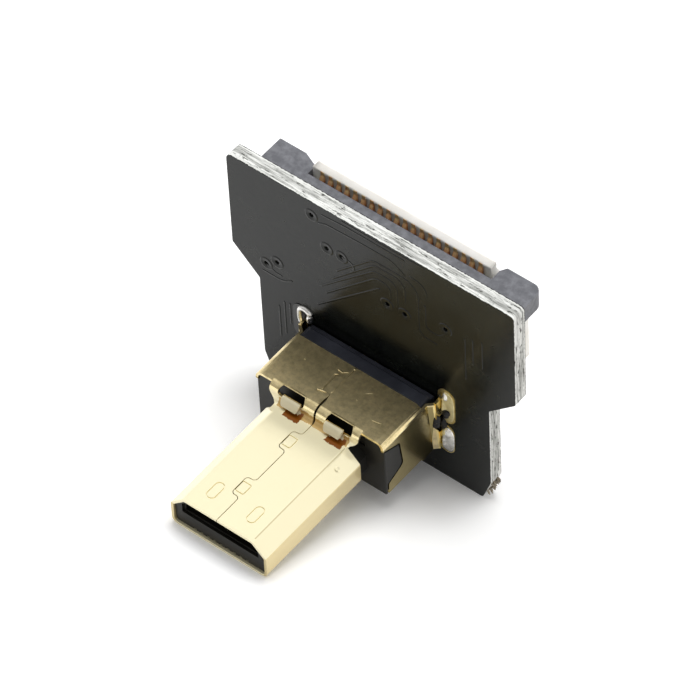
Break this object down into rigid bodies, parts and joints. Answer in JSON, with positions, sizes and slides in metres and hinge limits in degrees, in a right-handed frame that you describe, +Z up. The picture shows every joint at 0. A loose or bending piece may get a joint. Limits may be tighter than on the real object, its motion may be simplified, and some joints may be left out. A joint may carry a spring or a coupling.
{
  "type": "micro plug adapter board",
  "caption": "Small black adapter board with a gold audio-video micro plug on its front and a slide-lock flat cable connector on its back.",
  "frame": {"origin": "middle of the board's lower front edge, where it touches the table", "axes": "+X to the right along the board, -Y the way the plug's nose points, +Z up; the part leans forward 14.8 degrees onto its nose tip"},
  "size_m": [0.0172, 0.0137, 0.0146],
  "materials": {
    "board_black": "black solder mask over glass-fibre board, satin",
    "gold_pads": "thin gold plating over copper",
    "gold_sheet": "pale gold plating, smooth",
    "black_plastic": "moulded, fine grain",
    "blue_black_plastic": "moulded, satin",
    "gold_contacts": "gold plated tips",
    "solder": "bright tin solder",
    "ivory_plastic": "moulded, warm ivory",
    "bronze_contacts": "bronze sheet, cut edges",
    "slate_plastic": "moulded slate grey, mottled",
    "tinned_steel": "matt tin plating"
  },
  "bodies": {
    "adapter": {"circuit_board": "board_black", "board_pads": "gold_pads", "plug_shell": "gold_sheet", "plug_insulator": "black_plastic", "tail_comb": "blue_black_plastic", "plug_contact_top_1": "gold_contacts", "plug_contact_top_2": "gold_contacts", "plug_contact_top_3": "gold_contacts", "plug_contact_top_4": "gold_contacts", "plug_contact_top_5": "gold_contacts", "plug_contact_top_6": "gold_contacts", "plug_contact_top_7": "gold_contacts", "plug_contact_top_8": "gold_contacts", "plug_contact_top_9": "gold_contacts", "plug_contact_top_10": "gold_contacts", "plug_contact_low_1": "gold_contacts", "plug_contact_low_2": "gold_contacts", "plug_contact_low_3": "gold_contacts", "plug_contact_low_4": "gold_contacts", "plug_contact_low_5": "gold_contacts", "plug_contact_low_6": "gold_contacts", "plug_contact_low_7": "gold_contacts", "plug_contact_low_8": "gold_contacts", "plug_contact_low_9": "gold_contacts", "shell_solder": "solder", "tail_solder": "solder", "cable_housing": "ivory_plastic", "cable_contact_1": "bronze_contacts", "cable_contact_2": "bronze_contacts", "cable_contact_3": "bronze_contacts", "cable_contact_4": "bronze_contacts", "cable_contact_5": "bronze_contacts", "cable_contact_6": "bronze_contacts", "cable_contact_7": "bronze_contacts", "cable_contact_8": "bronze_contacts", "cable_contact_9": "bronze_contacts", "cable_contact_10": "bronze_contacts", "cable_contact_11": "bronze_contacts", "cable_contact_12": "bronze_contacts", "cable_contact_13": "bronze_contacts", "cable_contact_14": "bronze_contacts", "cable_contact_15": "bronze_contacts", "cable_contact_16": "bronze_contacts", "cable_contact_17": "bronze_contacts", "cable_contact_18": "bronze_contacts", "cable_contact_19": "bronze_contacts", "cable_contact_20": "bronze_contacts", "anchor_left": "tinned_steel", "anchor_right": "tinned_steel", "anchor_solder": "solder", "cable_solder": "solder"},
    "slider": {"cable_slider": "slate_plastic"}
  },
  "joints": [
    {"name": "slider_pull", "type": "slide", "parent": "adapter", "child": "slider", "axis": [0, -0.2553, 0.9669], "range_m": [0, 0.0012]}
  ]
}
